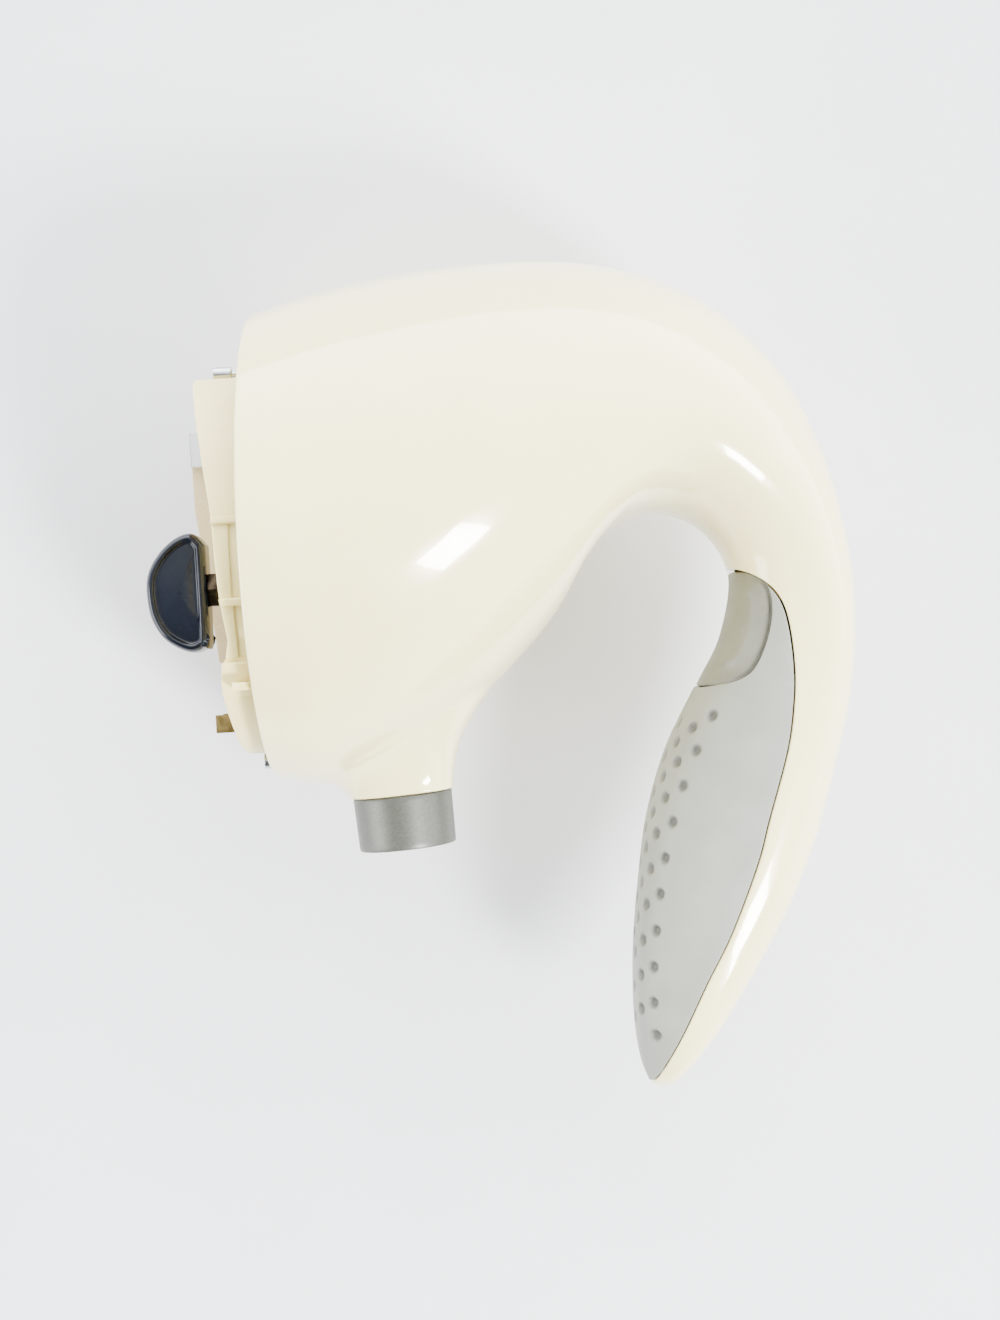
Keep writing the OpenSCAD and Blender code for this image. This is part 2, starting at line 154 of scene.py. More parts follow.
class Outline:
    """A closed outline in the side view, with a signed distance to it."""

    def __init__(self, points: Sequence[Sequence[float]]) -> None:
        """Keeps the corner points of the outline."""
        self.points = np.array(points, float)

    def inside(self, co: np.ndarray) -> np.ndarray:
        """Distance to the outline.

        Args:
            co: Points as rows of x, y and z.

        Returns:
            The distance of each point, positive inside.
        """
        x, y = co[:, 0], co[:, 1]
        best = np.full(len(co), 1e9)
        odd = np.zeros(len(co), bool)
        for (ax, ay), (bx, by) in zip(self.points, np.roll(self.points, -1, axis=0)):
            dx, dy = bx - ax, by - ay
            t = np.clip(((x - ax) * dx + (y - ay) * dy) / (dx * dx + dy * dy + 1e-12), 0, 1)
            best = np.minimum(best, np.hypot(x - ax - t * dx, y - ay - t * dy))
            if ay != by:
                odd ^= ((ay > y) != (by > y)) & (x < dx * (y - ay) / dy + ax)
        return np.where(odd, best, -best)

    def outside(self, co: np.ndarray) -> np.ndarray:
        """Distance to the outline, positive outside it."""
        return -self.inside(co)


def grip_outline(grow: float) -> Outline:
    """The side outline of everything on the inner side of the grip boundary."""
    edge = [(x + grow, y + grow * 0.4) for x, y in GRIP_EDGE]
    back = GRIP_BACK[:-1] + ((58, 21 + grow * 0.4),)
    return Outline(curve(edge, 6) + [list(p) for p in back])


def trigger_outline(grow: float) -> Outline:
    """The side outline of the trigger, grown by a distance."""
    edge = [(x + grow, y + grow * (y - 6) / 12) for x, y in TRIGGER_EDGE]
    return Outline(curve(edge, 6) + [[48, 22]])


@dataclass(frozen=True)
class Loft:
    """A skin drawn through a row of cross-sections."""

    stations: tuple[tuple[float, ...], ...]

    def point(self, t: float, angle: float, inset: float = 0.0) -> Vector:
        """A point of the skin.

        Args:
            t: Place along the row, in whole sections from the first.
            angle: Angle round the section, 0 on the outer side and pi on the inner side.
            inset: How far the section is drawn in.

        Returns:
            The point, in body millimetres.
        """
        ox, oy, ix, iy, width = smooth(self.stations, t)
        outer, inner = Vector((ox, oy, 0)), Vector((ix, iy, 0))
        half, c, s = (outer - inner).length / 2, math.cos(angle), math.sin(angle)
        rate, most = OUTER_SQUARE if c >= 0 else INNER_SQUARE
        square = min(most, 2 + max(0.0, ROUND_WIDTH - width) * rate)
        reach = max(half - inset, 0.2) * math.copysign(abs(c) ** (2 / square), c)
        height = max(width - inset, 0.2) * math.copysign(abs(s) ** (2 / square), s)
        return (outer + inner) / 2 + (outer - inner).normalized() * reach + Vector((0, 0, height))

    def skin(
        self,
        bm: bmesh.types.BMesh,
        along: tuple[float, float, int],
        around: tuple[float, float, int],
        inset: float = 0.0,
    ) -> list[bmesh.types.BMVert]:
        """Lays a grid over the skin.

        Args:
            bm: The mesh that takes the grid.
            along: First place, last place and number of steps along the row.
            around: First angle, last angle and number of steps round the section.
            inset: How far the sections are drawn in.

        Returns:
            The grid's vertices.
        """
        made = bmesh.ops.create_grid(bm, x_segments=along[2], y_segments=around[2], size=0.5)["verts"]
        for v in made:
            t = along[0] + (along[1] - along[0]) * (v.co.x + 0.5)
            angle = around[0] + (around[1] - around[0]) * (v.co.y + 0.5)
            v.co = self.point(t, angle, inset)
        return made


# ---- mesh helpers ------------------------------------------------------------------------
def cut(bm: bmesh.types.BMesh, reach: Field, level: float = 0.0, drop: bool = True) -> None:
    """Cuts a skin along a contour of a field.

    Args:
        bm: The mesh to cut.
        reach: The field.
        level: The value of the field at the cut.
        drop: Whether the side with the lower value is taken away.
    """
    co = np.array([v.co for v in bm.verts])
    value = dict(zip(bm.verts, (reach(co) - level).tolist()))
    for edge in bm.edges:
        a, b = edge.verts
        if value[a] * value[b] < 0:
            t = value[a] / (value[a] - value[b])
            near, far, step = (a, b, t) if t < 0.5 else (b, a, 1 - t)
            if step < SNAP:
                near.co = near.co.lerp(far.co, step)
                value[near] = 0.0
    for edge in list(bm.edges):
        a, b = edge.verts
        if value[a] * value[b] < 0:
            made = bmesh.utils.edge_split(edge, a, value[a] / (value[a] - value[b]))
            value[made[1]] = 0.0
    for face in list(bm.faces):
        ring = list(face.verts)
        marks = [k for k, v in enumerate(ring) if value[v] == 0.0]
        signs = {value[v] > 0 for v in ring if value[v] != 0.0}
        if len(marks) >= 2 and len(signs) == 2:
            first, last = marks[0], marks[-1]
            if len(marks) > 2:
                pairs = [(p, q) for p in marks for q in marks if q - p > 1 and q - p < len(ring) - 1]
                first, last = next(
                    (
                        (p, q)
                        for p, q in pairs
                        if len({value[v] > 0 for v in ring[p + 1 : q] if value[v] != 0.0}) < 2
                    ),
                    (first, last),
                )
            if 1 < last - first < len(ring) - 1:
                bmesh.utils.face_split(face, ring[first], ring[last])
    if drop:
        gone = [v for v in bm.verts if value[v] < 0]
        bmesh.ops.delete(bm, geom=gone, context="VERTS")
        loose = [v for v in bm.verts if not v.link_faces]
        bmesh.ops.delete(bm, geom=loose, context="VERTS")


def cut_soft(bm: bmesh.types.BMesh, reach: Field, radius: float) -> None:
    """Cuts a skin along a field's zero contour and lays loops beside it for a rounded edge.

    Args:
        bm: The mesh to cut.
        reach: The field.
        radius: Radius of the edge that will be rounded.
    """
    for share in (1.0, 0.55, 0.2):
        cut(bm, reach, share * radius, drop=False)
    cut(bm, reach)


def thicken(bm: bmesh.types.BMesh, wall: float, edges: Iterable[tuple[Field, float]]) -> None:
    """Gives a skin its wall, on the side away from its normals, and rounds its outer edges.

    Args:
        bm: The skin.
        wall: Thickness of the wall.
        edges: Fields that are zero along an edge, each with the radius of that edge.
    """
    bm.normal_update()
    outer = list(bm.verts)
    normals = [v.normal.copy() for v in outer]
    normal_at = {tuple(v.co): n for v, n in zip(outer, normals)}
    kept = set(bm.faces)
    grown = bmesh.ops.extrude_face_region(bm, geom=list(bm.faces), use_keep_orig=True)["geom"]
    for v in (g for g in grown if isinstance(g, bmesh.types.BMVert)):
        v.co = v.co - normal_at[tuple(v.co)] * wall
    bmesh.ops.reverse_faces(bm, faces=[f for f in bm.faces if f not in kept])
    co = np.array([v.co for v in outer])
    for reach, radius in edges:
        share = np.clip(reach(co) / radius, 0, 1)
        depth = radius * (1 - np.sqrt(np.clip(1 - (1 - share) ** 2, 0, 1)))
        for v, n, d in zip(outer, normals, depth.tolist()):
            if d > 0:
                v.co = v.co - n * d


def face_out(bm: bmesh.types.BMesh, away: Vector) -> None:
    """Turns a skin's faces outwards.

    Args:
        bm: The skin.
        away: The direction in which the skin's farthest face looks.
    """
    bmesh.ops.recalc_face_normals(bm, faces=bm.faces)
    farthest = max(bm.faces, key=lambda f: f.calc_center_median().dot(away))
    if farthest.normal.dot(away) < 0:
        bmesh.ops.reverse_faces(bm, faces=bm.faces)


def mark(bm: bmesh.types.BMesh, amounts: Iterable[float]) -> None:
    """Writes how far each vertex is darkened by dirt and painted shade, for the finish to read.

    Args:
        bm: The mesh.
        amounts: One amount for each vertex, 0 where it is not darkened.
    """
    layer = bm.verts.layers.float.new("dirt_and_shade")
    for v, amount in zip(list(bm.verts), amounts):
        v[layer] = amount


def to_frame(bm: bmesh.types.BMesh) -> None:
    """Moves a mesh from body millimetres to the frame's metres."""
    bmesh.ops.translate(bm, verts=bm.verts, vec=BODY_SHIFT)
    bmesh.ops.scale(bm, verts=bm.verts, vec=(MM, MM, MM))


def piece(bm: bmesh.types.BMesh, name: str, sharp: float = 40.0) -> bpy.types.Object:
    """Makes an object of a mesh.

    Args:
        bm: The mesh, in the frame's metres; it is freed.
        name: The object's name.
        sharp: Edges that turn by more than this many degrees stay sharp.

    Returns:
        The new object, in the scene.
    """
    data = bpy.data.meshes.new(name)
    bm.to_mesh(data)
    bm.free()
    data.shade_smooth()
    data.set_sharp_from_angle(angle=math.radians(sharp))
    made = bpy.data.objects.new(name, data)
    bpy.context.scene.collection.objects.link(made)
    return made


def hand_over(
    made: bpy.types.Object, finish: "Finish", body: str, nodes: Sequence[str]
) -> bpy.types.Object:
    """Dresses a piece, ties it to its body and hides the CAD nodes it stands for.

    Args:
        made: The piece.
        finish: Its finish.
        body: The body it moves with.
        nodes: The CAD nodes it replaces.

    Returns:
        The piece.
    """
    made.data.materials.clear()
    made.data.materials.append(finish.material())
    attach(made, body)
    if nodes:
        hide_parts(*nodes)
    size = made.dimensions
    LOG.info("%s: %d faces, %.0f x %.0f x %.0f mm", made.name, len(made.data.polygons), *(size / MM))
    return made


def spin_profile(bm: bmesh.types.BMesh, profile: Sequence[Sequence[float]], steps: int) -> None:
    """Turns a closed profile round the local Z axis.

    Args:
        bm: The mesh that takes the shape.
        profile: Corners of the profile, each with its radius and height.
        steps: Steps of the full turn.
    """
    ring = [bm.verts.new((r, 0, z)) for r, z in profile]
    edges = [bm.edges.new((a, b)) for a, b in zip(ring, ring[1:] + ring[:1])]
    bmesh.ops.spin(
        bm, geom=ring + edges, cent=(0, 0, 0), axis=(0, 0, 1), angle=2 * math.pi, steps=steps,
        use_merge=True,
    )
    bmesh.ops.recalc_face_normals(bm, faces=bm.faces)


# ---- finishes ----------------------------------------------------------------------------
class Pattern(Enum):
    """How the grain of a finish lies."""

    MOULDED = "moulded"
    BRUSHED_X = "brushed along x"
    BRUSHED_Y = "brushed along y"
    WOUND = "wound"
    SPECKLED = "speckled"


@dataclass(frozen=True)
class Finish:
    """A procedural finish, from fine grain up to the cloudiness of the whole surface."""

    name: str
    base: tuple[float, float, float]
    shade: tuple[float, float, float]
    rough: tuple[float, float]
    metal: float = 0.0
    coat: float = 0.0
    coat_rough: float = 0.05
    under: float = 0.0
    clear: float = 0.0
    ior: float = 1.5
    sheen: float = 0.0
    # Colour of dirt and painted shade in hollows, mixed in where the mesh marks them.
    dirt_and_shade: Optional[tuple[float, float, float]] = None
    cloud: float = 60.0
    grain: float = 2500.0
    depth: float = 0.02
    pattern: Pattern = Pattern.MOULDED

    def material(self) -> bpy.types.Material:
        """The Blender material of this finish, made once."""
        known = bpy.data.materials.get(f"{self.name}_finish")
        return known if known else self.make()

    def make(self) -> bpy.types.Material:
        """Builds the node tree.

        Returns:
            The new material.
        """
        made = bpy.data.materials.new(f"{self.name}_finish")
        made.use_nodes = True
        made.diffuse_color = (*self.base, 1)
        tree = made.node_tree
        shader = tree.nodes["Principled BSDF"]
        for socket, value in (
            ("Metallic", self.metal),
            ("Coat Weight", self.coat),
            ("Coat Roughness", self.coat_rough),
            ("Transmission Weight", self.clear),
            ("IOR", self.ior),
            ("Sheen Weight", self.sheen),
            ("Subsurface Weight", self.under),
            ("Subsurface Scale", 0.002),
        ):
            shader.inputs[socket].default_value = value
        self.colour(tree, shader)
        self.surface(tree, shader)
        return made

    def noise(self, tree: bpy.types.NodeTree, scale: float, detail: float) -> bpy.types.Node:
        """A noise texture on object coordinates, stretched the way the grain lies.

        Args:
            tree: The material's node tree.
            scale: Features per metre.
            detail: Octaves of finer noise.

        Returns:
            The noise node.
        """
        place = tree.nodes.new("ShaderNodeTexCoord")
        turn = tree.nodes.new("ShaderNodeMapping")
        stretch = {Pattern.BRUSHED_X: (0.04, 1, 1), Pattern.BRUSHED_Y: (1, 0.04, 1)}
        turn.inputs["Scale"].default_value = stretch.get(self.pattern, (1, 1, 1))
        made = tree.nodes.new("ShaderNodeTexNoise")
        made.inputs["Scale"].default_value = scale
        made.inputs["Detail"].default_value = detail
        tree.links.new(place.outputs["Object"], turn.inputs["Vector"])
        tree.links.new(turn.outputs["Vector"], made.inputs["Vector"])
        return made

    def colour(self, tree: bpy.types.NodeTree, shader: bpy.types.Node) -> None:
        """Lets the colour drift between the two shades, and darkens it where dirt and painted shade are
        marked.

        Args:
            tree: The material's node tree.
            shader: The node that takes the colour.
        """
        source = self.noise(tree, self.cloud, 4)
        if self.pattern is Pattern.SPECKLED:
            source.inputs["Scale"].default_value = self.cloud * 12
        ramp = tree.nodes.new("ShaderNodeValToRGB")
        ramp.color_ramp.elements[0].position = 0.35
        ramp.color_ramp.elements[1].position = 0.65
        ramp.color_ramp.elements[0].color = (*self.shade, 1)
        ramp.color_ramp.elements[1].color = (*self.base, 1)
        tree.links.new(source.outputs["Fac"], ramp.inputs["Fac"])
        colour = ramp.outputs["Color"]
        # Dirt and painted shade: the base colour goes darker where the vertex attribute marks the
        # hollows.
        if self.dirt_and_shade:
            dirt_and_shade_attr = tree.nodes.new("ShaderNodeAttribute")
            dirt_and_shade_attr.attribute_name = "dirt_and_shade"
            mix = tree.nodes.new("ShaderNodeMix")
            mix.data_type = "RGBA"
            mix.inputs["B"].default_value = (*self.dirt_and_shade, 1)
            tree.links.new(dirt_and_shade_attr.outputs["Fac"], mix.inputs["Factor"])
            tree.links.new(colour, mix.inputs["A"])
            colour = mix.outputs["Result"]
        tree.links.new(colour, shader.inputs["Base Color"])

    def surface(self, tree: bpy.types.NodeTree, shader: bpy.types.Node) -> None:
        """Varies the roughness and raises the fine grain.

        Args:
            tree: The material's node tree.
            shader: The node that takes the roughness and the bump.
        """
        patch = self.noise(tree, self.cloud * 3, 3)
        spread = tree.nodes.new("ShaderNodeMapRange")
        spread.inputs["To Min"].default_value, spread.inputs["To Max"].default_value = self.rough
        tree.links.new(patch.outputs["Fac"], spread.inputs["Value"])
        tree.links.new(spread.outputs["Result"], shader.inputs["Roughness"])
        if self.pattern is Pattern.WOUND:
            grain = tree.nodes.new("ShaderNodeTexWave")
            place = tree.nodes.new("ShaderNodeTexCoord")
            grain.inputs["Scale"].default_value = self.grain / 10
            grain.inputs["Distortion"].default_value = 0.6
            tree.links.new(place.outputs["Object"], grain.inputs["Vector"])
            height = grain.outputs["Fac"]
        else:
            height = self.noise(tree, self.grain, 2).outputs["Fac"]
        bump = tree.nodes.new("ShaderNodeBump")
        bump.inputs["Strength"].default_value = min(1.0, self.depth * 10)
        bump.inputs["Distance"].default_value = self.depth * MM
        tree.links.new(height, bump.inputs["Height"])
        tree.links.new(bump.outputs["Normal"], shader.inputs["Normal"])


CREAM = Finish("cream_gloss", (0.88, 0.785, 0.4), (0.86, 0.76, 0.38), (0.13, 0.19), coat=0.6,
               coat_rough=0.03, under=0.06, cloud=45, grain=900, depth=0.004)
FRAME_CREAM = Finish("cream_satin", (0.88, 0.755, 0.34), (0.83, 0.7, 0.3), (0.34, 0.46), under=0.05,
                     cloud=70, grain=1800, depth=0.01)
INNER_CREAM = Finish("inner_moulding", (0.7, 0.68, 0.6), (0.62, 0.6, 0.52), (0.4, 0.55), grain=1500)
# The second, darker colour goes into the dimples: dirt, and painted shade in the hollows.
GRIP = Finish("grip_soft_touch", (0.22, 0.227, 0.192), (0.195, 0.201, 0.17), (0.5, 0.64),
              dirt_and_shade=(0.075, 0.075, 0.062), cloud=80, grain=5200, depth=0.02)
# Slightly warmer than the grip as moulded; its much darker base is painted shade from the arch above
# it.
TRIGGER = Finish("trigger_satin", (0.15, 0.15, 0.115), (0.13, 0.13, 0.1), (0.4, 0.52), cloud=90,
                 grain=4200, depth=0.012)
COLLAR = Finish("collar_silver_paint", (0.085, 0.088, 0.074), (0.067, 0.07, 0.058), (0.36, 0.48),
                metal=0.4, cloud=120, grain=3800, depth=0.01, pattern=Pattern.SPECKLED)
KNOB = Finish("knob_blue_black", (0.006, 0.009, 0.018), (0.004, 0.006, 0.012), (0.12, 0.22), ior=1.4,
              grain=1200, depth=0.005)
CLEAR = Finish("lens_clear", (0.9, 0.93, 0.95), (0.82, 0.87, 0.9), (0.08, 0.2), clear=0.75, grain=900)
AMBER = Finish("lamp_amber", (0.8, 0.3, 0.05), (0.6, 0.2, 0.03), (0.1, 0.2), clear=0.4)
BOARD = Finish("insulation_board", (0.62, 0.5, 0.29), (0.52, 0.41, 0.22), (0.6, 0.8), cloud=200,
               grain=2600, depth=0.05, pattern=Pattern.SPECKLED)
MICA = Finish("mica_sheet", (0.6, 0.5, 0.34), (0.42, 0.34, 0.22), (0.25, 0.5), cloud=160, grain=1400)
PHENOLIC = Finish("phenolic_brown", (0.16, 0.07, 0.035), (0.1, 0.04, 0.02), (0.3, 0.45), cloud=220,
                  pattern=Pattern.SPECKLED)
DARK = Finish("dark_moulding", (0.045, 0.045, 0.048), (0.03, 0.03, 0.033), (0.35, 0.5))
RED = Finish("red_moulding", (0.5, 0.03, 0.02), (0.38, 0.02, 0.015), (0.25, 0.35))
WHITE = Finish("white_nylon", (0.78, 0.78, 0.74), (0.7, 0.7, 0.66), (0.35, 0.5), under=0.1)
RUBBER = Finish("black_rubber", (0.02, 0.02, 0.02), (0.03, 0.03, 0.03), (0.7, 0.85), depth=0.04)
GREEN = Finish("circuit_laminate", (0.03, 0.16, 0.07), (0.02, 0.11, 0.05), (0.25, 0.45), cloud=300,
               pattern=Pattern.BRUSHED_Y)
FERRITE = Finish("ferrite", (0.06, 0.06, 0.065), (0.04, 0.04, 0.045), (0.55, 0.7), metal=0.2,
                 pattern=Pattern.SPECKLED)
STEEL = Finish("zinc_steel", (0.55, 0.56, 0.57), (0.42, 0.43, 0.44), (0.25, 0.42), metal=1.0, cloud=240,
               pattern=Pattern.BRUSHED_X)
SPRING = Finish("spring_wire", (0.4, 0.41, 0.43), (0.28, 0.29, 0.3), (0.25, 0.4), metal=1.0, cloud=400)
CHROME = Finish("chrome", (0.55, 0.56, 0.57), (0.45, 0.46, 0.47), (0.06, 0.14), metal=1.0, cloud=150,
                depth=0.004)
HEATER_WIRE = Finish("heater_wire", (0.3, 0.27, 0.25), (0.16, 0.14, 0.13), (0.4, 0.6), metal=1.0,
                     cloud=500)
BRASS = Finish("aged_brass", (0.26, 0.19, 0.07), (0.13, 0.09, 0.03), (0.28, 0.5), metal=1.0, cloud=420)
BRONZE = Finish("dark_bronze", (0.06, 0.045, 0.028), (0.025, 0.018, 0.012), (0.3, 0.5), metal=1.0,
                cloud=380)
COPPER = Finish("enamelled_copper", (0.6, 0.26, 0.12), (0.42, 0.17, 0.08), (0.25, 0.4), metal=0.9,
                grain=12000, depth=0.06, pattern=Pattern.WOUND)

FLOOR_PAPER = Finish("floor_paper", (0.7, 0.71, 0.74), (0.68, 0.69, 0.72), (0.7, 0.8), cloud=20,
                     grain=400)

CARRIED_FINISH = {
    "heater_barrel": BOARD, "heater_cross": MICA, "heater_coil": HEATER_WIRE, "outlet_grille": STEEL,
    "thermal_cutout": STEEL, "collar_clip": SPRING, "trigger_pin": STEEL, "trigger_spring": SPRING,
    "micro_switch": DARK, "switch_plunger": RED, "fan_housing": INNER_CREAM, "fan_impeller": WHITE,
    "fan_nut": BRASS, "motor_mount": DARK, "damper_ring": RUBBER, "motor_can": STEEL,
    "motor_end_cap": DARK, "motor_magnets": FERRITE, "motor_shaft": STEEL, "motor_bushes": BRONZE,
    "armature": COPPER, "commutator": COPPER, "brush_holders": BRASS, "rectifier_board": GREEN,
    "intake_guard": STEEL, "knob_spindle": STEEL, "rotary_switch": PHENOLIC,
    "pilot_lamp": AMBER,
}


# ---- body --------------------------------------------------------------------------------
@dataclass
class BodyShell:
    """The two gloss halves of the body, with the open mouth, the outlet neck and the handle."""

    voxel: float = 1.05
    wall: float = 2.2
    mouth_edge: float = 0.7
    grip_edge: float = 0.45
    seam_edge: float = 0.22
    screw_depth: float = 11.0
    screw_well: float = 3.1
    screw_hole: float = 1.35
    neck_length: float = 14.6
    neck_edge: float = 0.5
    boss_angles: tuple[int, ...] = (180, 240, 300)
    boss_circle: float = 57.3
    boss_x: float = -55.4
    boss_r: float = 3.0
    boss_length: float = 9.0
    lead_in: float = 0.7
    relaxing: int = 7

    def whole(self) -> bmesh.types.BMesh:
        """The closed outer surface of the body and neck.

        Returns:
            A mesh of even quads, in body millimetres.
        """
        first, second = BODY_STATIONS[:2]
        ahead = tuple(a + (a - b) * self.lead_in for a, b in zip(first, second))
        body = Loft((ahead,) + BODY_STATIONS)
        neck = Loft((NECK_END,) + NECK_STATIONS)
        bm = bmesh.new()
        for loft, along, around in ((body, 200, 128), (neck, 40, 96)):
            loft.skin(bm, (0, len(loft.stations) - 1, along), (0, 2 * math.pi, around))
        bmesh.ops.remove_doubles(bm, verts=bm.verts, dist=1e-4)
        bmesh.ops.holes_fill(bm, edges=[e for e in bm.edges if e.is_boundary], sides=0)
        bmesh.ops.triangulate(bm, faces=[f for f in bm.faces if len(f.verts) > 4])
        bmesh.ops.recalc_face_normals(bm, faces=bm.faces)
        rough = piece(bm, "body_blank")
        remesh = rough.modifiers.new("even_quads", "REMESH")
        remesh.mode = "VOXEL"
        remesh.voxel_size = self.voxel
        bpy.context.view_layer.update()
        even = rough.evaluated_get(bpy.context.evaluated_depsgraph_get())
        bm = bmesh.new()
        bm.from_mesh(even.to_mesh())
        even.to_mesh_clear()
        bpy.data.objects.remove(rough)
        for _ in range(self.relaxing):
            self.relax(bm, bm.verts)
        bm.normal_update()
        return bm

    @staticmethod
    def relax(bm: bmesh.types.BMesh, verts: Iterable[bmesh.types.BMVert]) -> None:
        """Smooths the mesh once."""
        bmesh.ops.smooth_vert(
            bm, verts=list(verts), factor=0.5, use_axis_x=True, use_axis_y=True, use_axis_z=True
        )

    def half(self, whole: bmesh.types.BMesh, side: int) -> bmesh.types.BMesh:
        """One half of the body.

        Args:
            whole: The closed surface; it isn't changed.
            side: 1 for the near half and -1 for the far half.

        Returns:
            The half with its wall, in body millimetres.
        """
        bm = whole.copy()
        end = OUTLET @ Vector((0, 0, self.neck_length))
        up = OUTLET.to_3x3() @ Vector((0, 0, 1))

        def seam(co: np.ndarray) -> np.ndarray:
            """Distance to the parting plane."""
            return co[:, 2] * side

        def mouth(co: np.ndarray) -> np.ndarray:
            """Distance to the mouth plane."""
            return co[:, 0] - MOUTH_X

        def neck(co: np.ndarray) -> np.ndarray:
            """Distance to the end of the neck, far away elsewhere."""
            near = (co[:, 0] < 5) & (co[:, 1] < -20)
            return np.where(near, (co - np.array(end)) @ np.array(up), 99.0)

        grip = grip_outline(GAP).outside
        cut(bm, seam)
        cut(bm, mouth)
        edges = [
            (mouth, self.mouth_edge), (neck, self.neck_edge), (grip, self.grip_edge),
            (seam, self.seam_edge),
        ]
        for reach, radius in edges:
            cut_soft(bm, reach, radius)
        for x, y in SCREW_POINTS if side < 0 else ():
            self.well(bm, x, y)
        face_out(bm, Vector((0, 0, side)))
        thicken(bm, self.wall, edges)
        for angle in self.boss_angles:
            self.frame_boss(bm, math.radians(angle), side)
        return bm

    def well(self, bm: bmesh.types.BMesh, x: float, y: float) -> None:
        """Sinks the well of one shell screw into the far half.

        Args:
            bm: The far half's skin.
            x: Place of the screw.
            y: Place of the screw.
        """
        centre, reach = Vector((x, y, 0)), self.screw_well + 0.1

        def around(co: np.ndarray) -> np.ndarray:
            """Distance to the wall of the well."""
            return np.hypot(co[:, 0] - x, co[:, 1] - y) - self.screw_well

        cut(bm, around)
        rim = [
            e for e in bm.edges
            if e.is_boundary and all((v.co.xy - centre.xy).length < reach for v in e.verts)
        ]
        for radius in (self.screw_well, self.screw_hole):
            grown = bmesh.ops.extrude_edge_only(bm, edges=rim)["geom"]
            rim = [g for g in grown if isinstance(g, bmesh.types.BMEdge)]
            for v in {v for e in rim for v in e.verts}:
                spot = (v.co.xy - centre.xy).normalized() * radius
                v.co = (x + spot.x, y + spot.y, -self.screw_depth)

    def frame_boss(self, bm: bmesh.types.BMesh, angle: float, side: int) -> None:
        """Adds the round boss of one frame screw, where it lies on this half.

        Args:
            bm: The half.
            angle: Where the screw stands round the mouth, from the crown.
            side: 1 for the near half and -1 for the far half.
        """
        y, z = AXIS_Y + self.boss_circle * math.cos(angle), self.boss_circle * math.sin(angle)
        on_this_half = side > 0 if abs(z) < 0.1 else z * side > 0
        if on_this_half:
            turn = Matrix.Translation((self.boss_x, y, z)) @ Matrix.Rotation(math.pi / 2, 4, "Y")
            bmesh.ops.create_cone(
                bm, cap_ends=True, segments=32, radius1=self.boss_r, radius2=self.boss_r,
                depth=self.boss_length, matrix=turn,
            )

    def build(self) -> None:
        """Makes both halves."""
        whole = self.whole()
        for side, node in ((1, "shell_near"), (-1, "shell_far")):
            bm = self.half(whole, side)
            to_frame(bm)
            hand_over(piece(bm, f"{node}_gloss"), CREAM, "housing", [node])
        whole.free()


